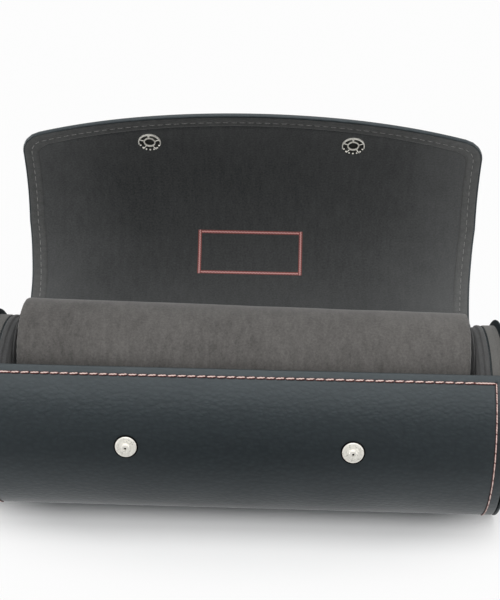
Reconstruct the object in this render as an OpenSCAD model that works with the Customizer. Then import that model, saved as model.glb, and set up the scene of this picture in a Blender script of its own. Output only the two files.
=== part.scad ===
// Watch travel case: a leather drum with a padded watch roll and a wrap-over flap.
// X runs along the drum, Y to the back, Z up. The origin is the middle of the base.

/* [Drum] */
// Length of the leather wrap between the end discs
wrap_length = 218; // [150:1:320]
// Outer radius of the leather wrap
wrap_radius = 43.4; // [36:0.1:56]
// Depth of the flat that the drum rests on, measured up from the full circle
base_flat_depth = 2.4; // [1.6:0.1:4]
// Angle of the front and back rims above the horizontal
rim_angle = 46; // [38:1:52]
// Thickness of the leather
leather_t = 1; // [0.6:0.1:1.6]
// Thickness of the stiffening board
board_t = 0.6; // [0.4:0.1:1.2]
// Thickness of the suede lining
lining_t = 0.8; // [0.4:0.1:1.2]
// Width of the leather that is turned over at an edge
turned_edge = 1.2; // [0.8:0.1:2.5]

/* [End caps] */
// Height of the end disc's lip over the wrap
lip_height = 0.5; // [0.3:0.1:2]
// Thickness of each outer end disc
end_disc_t = 4; // [2:0.1:8]
// Thickness of each padded end wall
end_wall_t = 6.3; // [5:0.1:14]
// Width of the inner suede edge, up to the seam on the rim
seam_offset = 2.5; // [1.5:0.1:4]
// Width of the seam's groove
seam_gap = 0.3; // [0.2:0.05:0.8]
// Thickness of the suede on the end walls
suede_t = 0.8; // [0.5:0.1:1.5]
// Distance between the lining and the pad that grips the watch roll
end_pad_margin = 1; // [0.5:0.5:8]
// Thickness of that pad
end_pad_t = 2.4; // [1.5:0.1:6]

/* [Watch roll] */
// Distance between the watch roll and each rim of the opening
roll_rim_clearance = 1.5; // [0.8:0.1:8]
// Height that the roll stands above its home in the middle of the drum
roll_rise = 21.5; // [0:0.5:22]
// Thickness of the end disc of the roll
roll_disc_t = 2.1; // [1:0.1:4]

/* [Flap] */
// Distance between the flap's free end and each end disc, when it is closed
flap_side_clearance = 0.5; // [0.3:0.1:4]
// Distance by which each side of the flap moves in towards the hinge
root_narrowing = 4.5; // [0:0.5:20]
// Length over which the flap widens
flap_taper_length = 55; // [35:1:60]
// Thickness of the flap's lining
flap_lining_t = 0.6; // [0.4:0.1:1]
// Length of the strip at the hinge, which has no board
hinge_strip_length = 14; // [10:0.5:18]
// Length of the next panel
panel_2_length = 20; // [14:0.5:26]
// Length of each of the three middle panels
panel_mid_length = 21; // [14:0.5:26]
// Length of the end panel
panel_end_length = 31; // [28:0.5:40]
// Radius that each panel is formed to
panel_radius = 80; // [60:1:160]
// Height of the front edge's curve, from its ends to its middle
front_edge_bow = 18.4; // [8:0.2:20]
// Radius of the flap's two corners
corner_radius = 11; // [5:0.5:20]

/* [Snaps] */
// Distance between the two snaps
snap_spacing = 95.2; // [60:0.1:140]
// Angle of the studs above the horizontal
stud_angle = 0; // [-8:1:8]
// Distance of the sockets from the end panel's crease
socket_offset = 11.5; // [9:0.1:14]
// Radius of the stud's flange
stud_flange_radius = 4.9; // [4:0.1:6]
// Radius of the stud's head
stud_head_radius = 2.1; // [1.8:0.05:2.5]
// Height of the stud over the leather
stud_height = 2.6; // [2:0.1:3]
// Outer radius of the socket
socket_radius = 5.2; // [4.4:0.1:6.5]
// Play between the stud's head and the socket's hole
snap_clearance = 0.5; // [0.3:0.05:0.9]
// Radius of the rivet's shank
rivet_radius = 1.1; // [0.9:0.05:1.4]

/* [Hidden] */
$fn = 96;

leather_colour = [0.15, 0.16, 0.17];
suede_colour = [0.50, 0.49, 0.46];
lining_colour = [0.25, 0.25, 0.26];
board_colour = [0.55, 0.45, 0.33];
foam_colour = [0.86, 0.82, 0.66];
metal_colour = [0.80, 0.80, 0.80];

// Clearances between pieces
cap_clearance = 0.1;
seat_gap = 0.02;
roll_end_gap = 0.3;
crease_gap = 0.15;
rivet_clearance = 0.1;
cut_margin = 3;
// A corner's circle is larger by this, so that it crosses the edges that it rounds
corner_overrun = 0.01;

// Drum, measured from its axis
axis_height = wrap_radius - base_flat_depth;
shell_t = leather_t + board_t + lining_t;
lining_face_radius = wrap_radius - shell_t;
cap_inset = shell_t + cap_clearance;
lip_radius = wrap_radius + lip_height;
wrap_end = wrap_length / 2;
wall_start = wrap_end - end_wall_t;
wedge_reach = 2 * wrap_radius;

// Watch roll, as wide as the opening lets through
roll_radius = lining_face_radius * cos(rim_angle) - roll_rim_clearance;
roll_half_length = wall_start - end_pad_t - roll_end_gap;
roll_cover_t = suede_t;
roll_height = axis_height + roll_rise;

// Flap: the hinge is the outer edge of the back rim
flap_t = leather_t + board_t + flap_lining_t;
flap_width = wrap_length - 2 * flap_side_clearance;
flap_root_width = flap_width - 2 * root_narrowing;
front_edge_radius = (pow(flap_width / 2, 2) + pow(front_edge_bow, 2)) / (2 * front_edge_bow);
hinge_y = wrap_radius * cos(rim_angle);
hinge_z = axis_height + wrap_radius * sin(rim_angle);
panel_lengths = [hinge_strip_length, panel_2_length, panel_mid_length, panel_mid_length,
    panel_mid_length, panel_end_length];
// Lean of the first strip from the vertical, and the turn at each crease, in the open pose
root_lean = 90;
open_turns = [0, 15, 16, 12, 4, 0];
// The sharpest turn that each crease takes, which sets its bevels
crease_turns = [0, 17, 18, 14, 14, 13];
end_arc = panel_end_length / panel_radius * 180 / PI;
end_panel_reach = panel_radius * sin(end_arc);

// Snaps
stud_flange_t = 0.8;
rivet_flange_radius = 4;
rivet_flange_t = 0.5;
rivet_bore_radius = rivet_radius / 2 + 0.05;
socket_ring_t = 0.6;
socket_hole_radius = stud_head_radius + snap_clearance;
socket_barrel_radius = socket_hole_radius + 0.8;
socket_barrel_depth = 1.1;
cap_flange_radius = 6;
cap_dome_height = 1.1;
cap_shank_radius = 1.6;

// ---------- Shapes that repeat ----------

// The angle in degrees that a length takes on a panel's curve
function panel_arc(length) = length / panel_radius * 180 / PI;

// Distance along the flap at which panel i begins
function panel_start(i) = i == 0 ? 0 : panel_start(i - 1) + panel_lengths[i - 1];

// Lean of panel i where it begins, and the point where it begins, in the open pose
function lean(i) = i == 0 ? root_lean
    : lean(i - 1) - panel_arc(panel_lengths[i - 1]) - open_turns[i];
function start_y(i) = i == 0 ? hinge_y
    : start_y(i - 1) + panel_radius
        * (cos(lean(i - 1) - panel_arc(panel_lengths[i - 1])) - cos(lean(i - 1)));
function start_z(i) = i == 0 ? hinge_z
    : start_z(i - 1) + panel_radius
        * (sin(lean(i - 1)) - sin(lean(i - 1) - panel_arc(panel_lengths[i - 1])));

// Half of the flap's width at a distance along it
function half_width(s) = flap_root_width / 2
    + (flap_width - flap_root_width) / 2 * min(1, s / flap_taper_length);

// Layers of the flap at panel i: the hinge strip has no board
function lining_depth(i) = i == 0 ? leather_t : leather_t + board_t;
function panel_t(i) = lining_depth(i) + flap_lining_t;

// A shape drawn in the YZ plane, extruded along X about the middle
module along_x(length) {
    rotate([90, 0, 90])
        linear_extrude(height = length, center = true)
            children();
}

// Cross-section of the drum at a depth below the wrap's outer face, flat at the base
module drum_profile(depth) {
    intersection() {
        circle(r = wrap_radius - depth);
        translate([-wrap_radius, depth - axis_height])
            square([2 * wrap_radius, 2 * wrap_radius]);
    }
}

// The opening between the rims, each rim moved back by trim degrees
module opening_wedge(trim) {
    low = rim_angle - trim;
    polygon([[0, 0],
        [-wedge_reach * cos(low), wedge_reach * sin(low)],
        [-wedge_reach * cos(low), 2 * wedge_reach],
        [wedge_reach * cos(low), 2 * wedge_reach],
        [wedge_reach * cos(low), wedge_reach * sin(low)]]);
}

// One layer of the drum's wall between two depths, with its rims moved back by trim degrees
module drum_layer(depth_a, depth_b, trim) {
    translate([0, 0, axis_height])
        along_x(wrap_length)
            difference() {
                drum_profile(depth_a);
                drum_profile(depth_b);
                opening_wedge(trim);
            }
}

// A disc with the drum's section, between two distances from the middle of the case
module drum_disc(depth, x_a, x_b) {
    translate([(x_a + x_b) / 2, 0, axis_height])
        along_x(x_b - x_a)
            drum_profile(depth);
}

// Places its children on the stud's seats, with +Z out of the leather
module at_studs() {
    for (side = [-1, 1])
        translate([side * snap_spacing / 2, 0, axis_height])
            rotate([90 - stud_angle, 0, 0])
                translate([0, 0, wrap_radius])
                    children();
}

// Places its children at the start of panel i, with +Y along it and +Z to the lining
module at_panel(i) {
    translate([0, start_y(i), start_z(i)])
        rotate([90 - lean(i), 0, 0])
            children();
}

// Places its children on the sockets' seats, with +Z towards the lining
module at_sockets() {
    turn = panel_arc(socket_offset);
    at_panel(5)
        for (side = [-1, 1])
            translate([side * snap_spacing / 2, panel_radius * sin(turn),
                panel_radius * (1 - cos(turn))])
                rotate([turn, 0, 0])
                    children();
}

// Side view of panel i between two depths, bevelled at its creases so that it can curl
module panel_side(i, depth_a, depth_b) {
    arc = panel_arc(panel_lengths[i]);
    start_slope = tan(crease_turns[i] / 2);
    end_slope = i == 5 ? 0 : tan(crease_turns[i + 1] / 2);
    end_gap = i == 5 ? 0 : crease_gap;
    deep = flap_t + cut_margin;
    intersection() {
        translate([0, panel_radius])
            difference() {
                circle(r = panel_radius - depth_a, $fn = 180);
                circle(r = panel_radius - depth_b, $fn = 180);
            }
        polygon([[crease_gap, -cut_margin], [crease_gap, 0],
            [crease_gap + deep * start_slope, deep],
            panel_end_point(arc, -end_gap - deep * end_slope, deep),
            panel_end_point(arc, -end_gap, 0),
            panel_end_point(arc, -end_gap, -cut_margin)]);
    }
}

// A point given along and across the far end of a panel
function panel_end_point(arc, along, across) =
    [panel_radius * sin(arc) + along * cos(arc) - across * sin(arc),
     panel_radius * (1 - cos(arc)) + along * sin(arc) + across * cos(arc)];

// Plan view of panel i, with its free edges moved in by inset
module panel_plan(i, inset) {
    near = half_width(panel_start(i)) - inset;
    far = half_width(panel_start(i) + panel_lengths[i]) - inset;
    if (i == 5)
        end_plan(near, inset);
    else
        polygon([[-near, -cut_margin], [near, -cut_margin], [near, 0],
            [far, panel_lengths[i]], [far, panel_lengths[i] + cut_margin],
            [-far, panel_lengths[i] + cut_margin], [-far, panel_lengths[i]], [-near, 0]]);
}

// Plan view of the end panel: straight sides, a curved front edge and round corners
module end_plan(half, inset) {
    edge_r = front_edge_radius - inset;
    corner_r = max(corner_radius - inset, 1);
    edge_y = end_panel_reach - front_edge_radius;
    centre_x = half - corner_r;
    centre_y = edge_y + sqrt(pow(edge_r - corner_r, 2) - pow(centre_x, 2));
    beyond = [centre_x, centre_y]
        + [centre_x, centre_y - edge_y] * 2 * corner_r / (edge_r - corner_r);
    difference() {
        intersection() {
            translate([0, edge_y])
                circle(r = edge_r, $fn = 360);
            translate([-half, -cut_margin])
                square([2 * half, end_panel_reach + 2 * cut_margin]);
        }
        for (side = [-1, 1])
            mirror([side < 0 ? 1 : 0, 0])
                difference() {
                    polygon([[centre_x, centre_y], [half + corner_r, centre_y],
                        [half + corner_r, beyond[1]], beyond]);
                    translate([centre_x, centre_y])
                        circle(r = corner_r + corner_overrun, $fn = 64);
                }
    }
}

// A slab of panel i between two depths
module panel_slab(i, depth_a, depth_b, inset) {
    at_panel(i)
        intersection() {
            along_x(2 * flap_width)
                panel_side(i, depth_a, depth_b);
            translate([0, 0, -cut_margin])
                linear_extrude(height = panel_radius)
                    panel_plan(i, inset);
        }
}

// ---------- Drum ----------

// Trim in degrees that leaves room for the turned leather at the rims
turned_trim = turned_edge / wrap_radius * 180 / PI;

module shell_leather() {
    color(leather_colour)
        difference() {
            drum_layer(0, shell_t, 0);
            drum_layer(leather_t, shell_t + 1, turned_trim);
            at_studs() rivet_hole();
        }
}

module shell_board() {
    color(board_colour)
        difference() {
            drum_layer(leather_t, leather_t + board_t, turned_trim);
            at_studs() rivet_hole();
        }
}

module shell_lining() {
    color(suede_colour)
        difference() {
            drum_layer(leather_t + board_t, shell_t, turned_trim);
            at_studs() rivet_hole();
        }
}

module rivet_hole() {
    translate([0, 0, -2 * shell_t])
        cylinder(h = 3 * shell_t, r = rivet_radius + rivet_clearance);
}

// ---------- End caps, drawn on the right and mirrored to the left ----------

module cap_board() {
    color(board_colour)
        drum_disc(cap_inset + suede_t, wall_start + suede_t, wrap_end);
}

// The wall's suede turns over its edge and stops at the seam
module cap_lining() {
    color(suede_colour)
        difference() {
            drum_disc(cap_inset, wall_start, wall_start + seam_offset);
            drum_disc(cap_inset + suede_t, wall_start + suede_t, wrap_end);
        }
}

module rim_band() {
    color(suede_colour)
        difference() {
            drum_disc(cap_inset, wall_start + seam_offset + seam_gap, wrap_end);
            drum_disc(cap_inset + suede_t, wall_start + suede_t, wrap_end + 1);
        }
}

module end_pad() {
    color(suede_colour)
        drum_disc(shell_t + end_pad_margin, wall_start - end_pad_t, wall_start);
}

module end_disc() {
    color(leather_colour)
        translate([wrap_end + end_disc_t / 2, 0, axis_height])
            along_x(end_disc_t)
                intersection() {
                    circle(r = lip_radius);
                    translate([-lip_radius, -axis_height])
                        square([2 * lip_radius, 2 * lip_radius]);
                }
}

module left_cap_board() mirror([1, 0, 0]) cap_board();
module left_cap_lining() mirror([1, 0, 0]) cap_lining();
module left_rim_band() mirror([1, 0, 0]) rim_band();
module left_end_pad() mirror([1, 0, 0]) end_pad();
module left_end_disc() mirror([1, 0, 0]) end_disc();
module right_cap_board() cap_board();
module right_cap_lining() cap_lining();
module right_rim_band() rim_band();
module right_end_pad() end_pad();
module right_end_disc() end_disc();

// ---------- Watch roll ----------

// A cylinder along X at the roll's height
module roll_cylinder(radius, x_a, x_b) {
    translate([x_a, 0, roll_height])
        rotate([0, 90, 0])
            cylinder(h = x_b - x_a, r = radius);
}

module roll_cover() {
    body_end = roll_half_length - roll_disc_t;
    color(suede_colour)
        difference() {
            roll_cylinder(roll_radius, -body_end, body_end);
            roll_cylinder(roll_radius - roll_cover_t, -body_end - 1, body_end + 1);
        }
}

module roll_foam() {
    body_end = roll_half_length - roll_disc_t;
    color(foam_colour)
        roll_cylinder(roll_radius - roll_cover_t, -body_end, body_end);
}

module left_roll_disc() {
    color(suede_colour)
        roll_cylinder(roll_radius, -roll_half_length, roll_disc_t - roll_half_length);
}

module right_roll_disc() {
    color(suede_colour)
        roll_cylinder(roll_radius, roll_half_length - roll_disc_t, roll_half_length);
}

// ---------- Snaps ----------

// Flange, neck and head, with the rivet's hole down the middle
module snap_studs() {
    head_r = 0.5;
    neck_radius = stud_head_radius - 0.3;
    hole = rivet_radius + rivet_clearance / 2;
    color(metal_colour)
        at_studs()
            translate([0, 0, seat_gap])
                rotate_extrude()
                    union() {
                        translate([hole, 0])
                            square([stud_flange_radius - hole - stud_flange_t / 2,
                                stud_flange_t]);
                        translate([stud_flange_radius - stud_flange_t / 2,
                            stud_flange_t / 2])
                            circle(d = stud_flange_t, $fn = 32);
                        translate([hole, 0])
                            square([neck_radius - hole, stud_height - head_r]);
                        translate([hole, stud_height - 2 * head_r])
                            square([stud_head_radius - head_r - hole, 2 * head_r]);
                        translate([stud_head_radius - head_r, stud_height - head_r])
                            circle(r = head_r, $fn = 32);
                    }
}

// A flange inside the lining and a hollow shank up through the stud
module stud_rivets() {
    flange_top = sqrt(pow(lining_face_radius, 2) - pow(rivet_flange_radius, 2))
        - wrap_radius - seat_gap;
    color(metal_colour)
        at_studs()
            difference() {
                union() {
                    translate([0, 0, flange_top - rivet_flange_t])
                        cylinder(h = rivet_flange_t, r = rivet_flange_radius);
                    translate([0, 0, flange_top - rivet_flange_t])
                        cylinder(h = stud_height - flange_top + rivet_flange_t,
                            r = rivet_radius);
                }
                translate([0, 0, flange_top - rivet_flange_t - 1])
                    cylinder(h = stud_height + 3 * shell_t, r = rivet_bore_radius);
            }
}

// A ring on the lining and a barrel sunk into the flap
module snap_sockets() {
    ring_seat = flap_t + socket_radius * socket_radius / (2 * (panel_radius - flap_t)) + seat_gap;
    barrel_foot = flap_t - socket_barrel_depth;
    color(metal_colour)
        at_sockets()
            rotate_extrude()
                union() {
                    translate([socket_hole_radius, ring_seat])
                        square([socket_radius - socket_hole_radius - socket_ring_t / 2,
                            socket_ring_t]);
                    translate([socket_radius - socket_ring_t / 2, ring_seat + socket_ring_t / 2])
                        circle(d = socket_ring_t, $fn = 32);
                    translate([socket_hole_radius, barrel_foot])
                        square([socket_barrel_radius - socket_hole_radius,
                            ring_seat - barrel_foot + seat_gap]);
                }
}

// The plain cap that shows on the leather, with a short shank behind the socket
module socket_caps() {
    dome_radius = (pow(cap_flange_radius, 2) + pow(cap_dome_height, 2))
        / (2 * cap_dome_height);
    color(metal_colour)
        at_sockets()
            mirror([0, 0, 1])
                rotate_extrude()
                    union() {
                        intersection() {
                            translate([0, cap_dome_height + seat_gap - dome_radius])
                                circle(r = dome_radius, $fn = 720);
                            translate([0, seat_gap])
                                square([cap_flange_radius, cap_dome_height]);
                        }
                        translate([0, seat_gap - leather_t])
                            square([cap_shank_radius, leather_t]);
                    }
}

// ---------- Flap ----------

// The leather is turned over the edges of the board and the lining
module flap_leather(i) {
    color(leather_colour)
        difference() {
            panel_slab(i, 0, panel_t(i), 0);
            panel_slab(i, leather_t, panel_t(i) + 1, turned_edge);
            if (i == 5)
                at_sockets()
                    translate([0, 0, -1])
                        cylinder(h = flap_t + 2, r = cap_shank_radius + rivet_clearance);
        }
}

module flap_board(i) {
    color(board_colour)
        difference() {
            panel_slab(i, leather_t, leather_t + board_t, turned_edge);
            if (i == 5)
                at_sockets() barrel_hole();
        }
}

module flap_lining(i) {
    color(lining_colour)
        difference() {
            panel_slab(i, lining_depth(i), panel_t(i), turned_edge);
            if (i == 5)
                at_sockets() barrel_hole();
        }
}

module barrel_hole() {
    cylinder(h = 2 * flap_t, r = socket_barrel_radius + rivet_clearance);
}

shell_leather();
shell_board();
shell_lining();
left_cap_board();
left_cap_lining();
left_rim_band();
left_end_pad();
left_end_disc();
right_cap_board();
right_cap_lining();
right_rim_band();
right_end_pad();
right_end_disc();
roll_cover();
roll_foam();
left_roll_disc();
right_roll_disc();
snap_studs();
stud_rivets();
snap_sockets();
socket_caps();
flap_leather(0);  // flap_leather_1
flap_leather(1);  // flap_leather_2
flap_leather(2);  // flap_leather_3
flap_leather(3);  // flap_leather_4
flap_leather(4);  // flap_leather_5
flap_leather(5);  // flap_leather_6
flap_board(1);  // flap_board_2
flap_board(2);  // flap_board_3
flap_board(3);  // flap_board_4
flap_board(4);  // flap_board_5
flap_board(5);  // flap_board_6
flap_lining(0);  // flap_lining_1
flap_lining(1);  // flap_lining_2
flap_lining(2);  // flap_lining_3
flap_lining(3);  // flap_lining_4
flap_lining(4);  // flap_lining_5
flap_lining(5);  // flap_lining_6
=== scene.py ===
import math

import bpy
import numpy as np
from mathutils import Matrix, Vector, noise


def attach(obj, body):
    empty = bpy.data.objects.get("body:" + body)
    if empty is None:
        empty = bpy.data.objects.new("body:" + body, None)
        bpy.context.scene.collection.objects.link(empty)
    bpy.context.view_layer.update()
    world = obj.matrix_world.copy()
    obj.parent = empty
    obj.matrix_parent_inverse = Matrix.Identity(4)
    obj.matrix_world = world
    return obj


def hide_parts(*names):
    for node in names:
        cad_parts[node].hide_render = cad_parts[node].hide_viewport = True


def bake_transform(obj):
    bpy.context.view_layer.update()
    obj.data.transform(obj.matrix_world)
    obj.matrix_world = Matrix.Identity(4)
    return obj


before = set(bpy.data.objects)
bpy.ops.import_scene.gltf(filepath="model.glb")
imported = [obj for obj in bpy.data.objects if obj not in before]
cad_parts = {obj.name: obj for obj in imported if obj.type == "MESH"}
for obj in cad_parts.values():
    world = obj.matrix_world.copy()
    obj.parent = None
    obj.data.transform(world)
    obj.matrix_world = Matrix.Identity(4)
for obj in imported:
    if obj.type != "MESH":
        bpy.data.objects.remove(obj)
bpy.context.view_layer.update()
mm = 0.001
print("frame loaded:", len(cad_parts), "nodes")

# the camera comes first, so that everything is looked at from one place
viewer = dict(
    place=(20.83, -535.65, 259.4),  # millimetres
    pitch=17.229, yaw=-1.982, roll=0.718,  # degrees
    focalPixels=1279, tallPixels=600, sensor=36, clipping=(0.01, 50),
)


def setCamera():
    pitch, yaw, roll = (math.radians(viewer[k]) for k in ("pitch", "yaw", "roll"))
    ahead = Vector((math.sin(yaw) * math.cos(pitch), math.cos(yaw) * math.cos(pitch),
                    -math.sin(pitch)))
    side = ahead.cross(Vector((0, 0, 1))).normalized()
    up = side.cross(ahead)
    right = side * math.cos(roll) + up * math.sin(roll)
    top = up * math.cos(roll) - side * math.sin(roll)
    lens = bpy.data.cameras.new("camera")
    lens.sensor_width = viewer["sensor"]
    lens.lens = viewer["focalPixels"] / viewer["tallPixels"] * viewer["sensor"]
    lens.clip_start, lens.clip_end = viewer["clipping"]
    eye = bpy.data.objects.new("camera", lens)
    bpy.context.scene.collection.objects.link(eye)
    turn = Matrix((right, top, -ahead)).transposed().to_4x4()
    eye.matrix_world = Matrix.Translation(Vector(viewer["place"]) * mm) @ turn
    bpy.context.scene.camera = eye


setCamera()


class Signal:
    # a socket on which + - and * add Math nodes
    def __init__(self, recipe, socket):
        self.recipe, self.socket = recipe, socket

    def maths(self, operation, first, second):
        return self.recipe.node("Math", {"operation": operation}, {0: first, 1: second})

    def __add__(self, other):
        return self.maths("ADD", self, other)

    def __radd__(self, other):
        return self.maths("ADD", other, self)

    def __sub__(self, other):
        return self.maths("SUBTRACT", self, other)

    def __rsub__(self, other):
        return self.maths("SUBTRACT", other, self)

    def __mul__(self, other):
        return self.maths("MULTIPLY", self, other)

    def __rmul__(self, other):
        return self.maths("MULTIPLY", other, self)


class Recipe:
    # the nodes of one material, or of the world: node() makes them and shader() ends them
    def __init__(self, name, owner=None):
        self.owner = owner or bpy.data.materials.new(name)
        self.owner.use_nodes = True
        self.tree = self.owner.node_tree
        self.tree.nodes.clear()

    def feed(self, socket, value):
        if isinstance(value, Signal):
            self.tree.links.new(value.socket, socket)
        else:
            socket.default_value = value

    def node(self, kind, settings=None, sockets=None, output=0):
        made = self.tree.nodes.new("ShaderNode" + kind)
        for key, value in (settings or {}).items():
            if key == "stops":
                ramp = made.color_ramp
                while len(ramp.elements) < len(value):
                    ramp.elements.new(0.5)
                for stop, (place, colour) in zip(ramp.elements, value):
                    stop.position = place
                    stop.color = (*colour, 1)
            else:
                setattr(made, key, value)
        for key, value in (sockets or {}).items():
            self.feed(made.inputs[key], value)
        return Signal(self, made.outputs[output]) if made.outputs else made

    def place(self, scale, pattern=False):
        # Object coordinates, or the sheet's own flat pattern, in units of 1/scale metres
        kind, settings = ("UVMap", {"uv_map": "pattern"}) if pattern else ("TexCoord", {})
        spot = self.node(kind, settings, output="UV" if pattern else "Object")
        return self.node("Mapping", {}, {"Vector": spot, "Scale": scale})

    def noise(self, where, size=1.0, detail=3.0, rough=0.5):
        return self.node("TexNoise", {}, {"Vector": where, "Scale": size, "Detail": detail,
                                          "Roughness": rough})

    def ramp(self, factor, *stops):
        return self.node("ValToRGB", {"stops": stops}, {0: factor})

    def part(self, vector, n):
        return self.node("SeparateXYZ", {}, {0: vector}, n)

    def size(self, value):
        return self.node("Math", {"operation": "ABSOLUTE"}, {0: value})

    def ease(self, value, bounds, low, high):
        # a smooth rise from low to high between two bounds of value
        return self.node("MapRange", {"interpolation_type": "SMOOTHSTEP"},
                         {"Value": value, "From Min": bounds[0], "From Max": bounds[1],
                          "To Min": low, "To Max": high})

    def rays(self, *kinds):
        return [self.node("LightPath", {}, {}, f"Is {kind} Ray") for kind in kinds]

    def bump(self, height, depth, strength=1.0):
        return self.node("Bump", {}, {"Height": height, "Distance": depth, "Strength": strength})

    def shader(self, **sockets):
        kinds = {key.replace("_", " "): value for key, value in sockets.items()}
        surface = self.node("BsdfPrincipled", {}, kinds)
        self.node("OutputMaterial", {}, {"Surface": surface})
        return self.owner


white = (1, 1, 1, 1)
evenly = (1, 1, 1)
# sizes of a pattern are in repeats to the metre
hideLook = dict(
    base=(0.0065, 0.0115, 0.0145), pebbleTopTone=(0.013, 0.020, 0.0235), pebbleTopToneTo=0.15, baseFrom=0.75,
    pebble=620, smallPebble=1178, pebbleStretch=(0.66, 1, 1), softness=0.3, depth=0.0001,
    warp=0.0011, warpSize=330, wrinkle=210, broad=55, fine=2600,
    heights=dict(pebble=0.9, small=0.25, fine=0.12, wrinkle=0.22),
    rough=(0.40, 0.54), gloss=0.625, tint=(0.90, 0.97, 1.0, 1),
)


def mixHide(name, pattern, gloss=1.0, dull=0.0):
    r, look, share = Recipe(name), hideLook, hideLook["heights"]
    spot = r.place(look["pebbleStretch"], pattern)
    wrinkle = r.noise(spot, look["wrinkle"], 3)
    drift = r.node("TexNoise", {}, {"Vector": spot, "Scale": look["warpSize"], "Detail": 2},
                   "Color")
    warped = r.node("Mix", {"data_type": "VECTOR"}, {0: look["warp"], 4: spot, 5: drift}, 1)
    pebble = r.node("TexVoronoi", {"feature": "SMOOTH_F1"},
                    {"Vector": warped, "Scale": look["pebble"], "Smoothness": look["softness"]})
    small = r.node("TexVoronoi", {"feature": "F1"},
                   {"Vector": warped, "Scale": look["smallPebble"]})
    broad = r.noise(spot, look["broad"], 4)
    fine = r.noise(spot, look["fine"], 2)
    height = ((1 - pebble) * share["pebble"] + (1 - small) * share["small"]
              + fine * share["fine"] + wrinkle * share["wrinkle"])
    # the tone is lighter on the pebbles' tops and darker between them, and wanders broadly at
    # random
    colour = r.ramp(pebble * 0.7 + broad * 0.5, (look["pebbleTopToneTo"], look["pebbleTopTone"]),
                    (look["baseFrom"], look["base"]))
    low, high = look["rough"]
    return r.shader(Base_Color=colour, Roughness=low + dull + broad * (high - low),
                    Specular_IOR_Level=look["gloss"] * gloss, Specular_Tint=look["tint"],
                    Normal=r.bump(height, look["depth"]))


suedeLook = dict(
    nap=1100, strokes=150, clouds=34, depth=0.00007, sheen=0.25,
    # where the flap's lining is lighter, towards its sides and towards its hinge: from and to,
    # in metres, and by how much
    sideFade=((0.050, 0.104), 0.19), footFade=((0.105, 0.180), 0.17), footAt=0.2, ragged=0.03,
)


def mixSuede(name, dark, light, level, drawn=(1, 1, 1), pattern=False, clouds=0.25,
             strokes=0.25, fade=False, paintedLightSlope=0.6, grain=0.45):
    # level is where the tone rests between dark and light; slope is painted light, how much the
    # tone rises to the right, where the light falls brighter; drawn stretches the strokes
    r, look = Recipe(name), suedeLook
    spot = r.place(evenly, pattern)
    nap = r.noise(spot, look["nap"], 3, 0.7)
    stroked = r.noise(r.place(drawn, pattern), look["strokes"], 4, 0.65)
    cloud = r.noise(spot, look["clouds"], 6, 0.68)
    across = r.part(spot, 0)
    tone = level + (stroked - 0.5) * strokes + (cloud - 0.5) * clouds + (nap - 0.5) * grain
    # painted light: the suede grows lighter towards the right, where the light falls brighter
    tone = tone + across * paintedLightSlope
    if fade:
        out = r.size(across) + (cloud - 0.5) * look["ragged"]
        down = look["footAt"] - r.part(spot, 1)
        for way, (bounds, rise) in ((out, look["sideFade"]), (down, look["footFade"])):
            tone = tone + r.ease(way, bounds, 0.0, rise)
    return r.shader(Base_Color=r.ramp(tone, (0.0, dark), (1.0, light)), Roughness=0.93,
                    Specular_IOR_Level=0.15, Sheen_Weight=look["sheen"], Sheen_Roughness=0.45,
                    Normal=r.bump(nap * 0.8 + stroked * 0.5, look["depth"], 0.7))


def mixThread(name, edge, crown, stops=(0.30, 0.58)):
    # the sewn pattern's second coordinate is 0 on top of a stitch and 1 at its edges, where the
    # edge colour is painted shade
    r = Recipe(name)
    across = r.size(r.part(r.place(evenly, True), 1))
    twist = r.node("TexWave", {"bands_direction": "DIAGONAL"},
                   {"Vector": r.place(evenly), "Scale": 420, "Distortion": 1.5})
    colour = r.ramp(across + (twist - 0.5) * 0.25, (stops[0], crown), (stops[1], edge))
    return r.shader(Base_Color=colour, Roughness=0.62, Sheen_Weight=0.2,
                    Normal=r.bump(twist, 0.00005, 0.5))


def mixMetal(name, colour, rough, metallic=1.0):
    r = Recipe(name)
    scuff = r.noise(r.place(evenly), 900, 4)
    tint = r.ramp(scuff, (0.3, tuple(c * 0.86 for c in colour)), (0.7, colour))
    return r.shader(Base_Color=tint, Metallic=metallic, Roughness=rough + scuff * 0.14,
                    Normal=r.bump(scuff, 0.00002, 0.5))


def mixBoard(name, dark, light, size):
    r = Recipe(name)
    pulp = r.noise(r.place(evenly), size, 5, 0.7)
    return r.shader(Base_Color=r.ramp(pulp, (0.3, dark), (0.7, light)), Roughness=0.9,
                    Normal=r.bump(pulp, 0.0001, 0.6))


hide = mixHide("hide", True)
hideDisc = mixHide("hideDisc", False, 0.45, 0.12)
rollSuede = mixSuede("rollSuede", (0.026, 0.025, 0.024), (0.196, 0.187, 0.178), 0.45,
                     (2.5, 0.8, 0.8), clouds=0.42, strokes=0.50, grain=0.62)
# painted light and shade: the next two are one suede, darker on the end walls, pads, roll plates
# and drum lining, which stand in shade, and lighter on the band, which faces the light
shadedWallSuede = mixSuede("shadedWallSuede", (0.016, 0.017, 0.018), (0.117, 0.117, 0.117), 0.5)
litBandSuede = mixSuede("litBandSuede", (0.045, 0.045, 0.043), (0.19, 0.186, 0.177), 0.5, (4, 1, 1))
liningSuede = mixSuede("liningSuede", (0.0115, 0.0132, 0.0138), (0.150, 0.153, 0.153), 0.165,
                       (2.6, 0.6, 1), True, clouds=0.14, strokes=0.20, fade=True)
hemSuede = mixSuede("hemSuede", (0.011, 0.0125, 0.0125), (0.146, 0.148, 0.146), 0.285,
                    (2, 2, 1), True, clouds=0.14, strokes=0.42, fade=True)
salmonThread = mixThread("salmonThread", (0.11, 0.016, 0.012), (0.73, 0.56, 0.51))
frameThread = mixThread("frameThread", (0.20, 0.045, 0.035), (0.56, 0.28, 0.27),
                        (0.30, 0.42))
greyThread = mixThread("greyThread", (0.05, 0.05, 0.05), (0.22, 0.22, 0.21))
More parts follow.
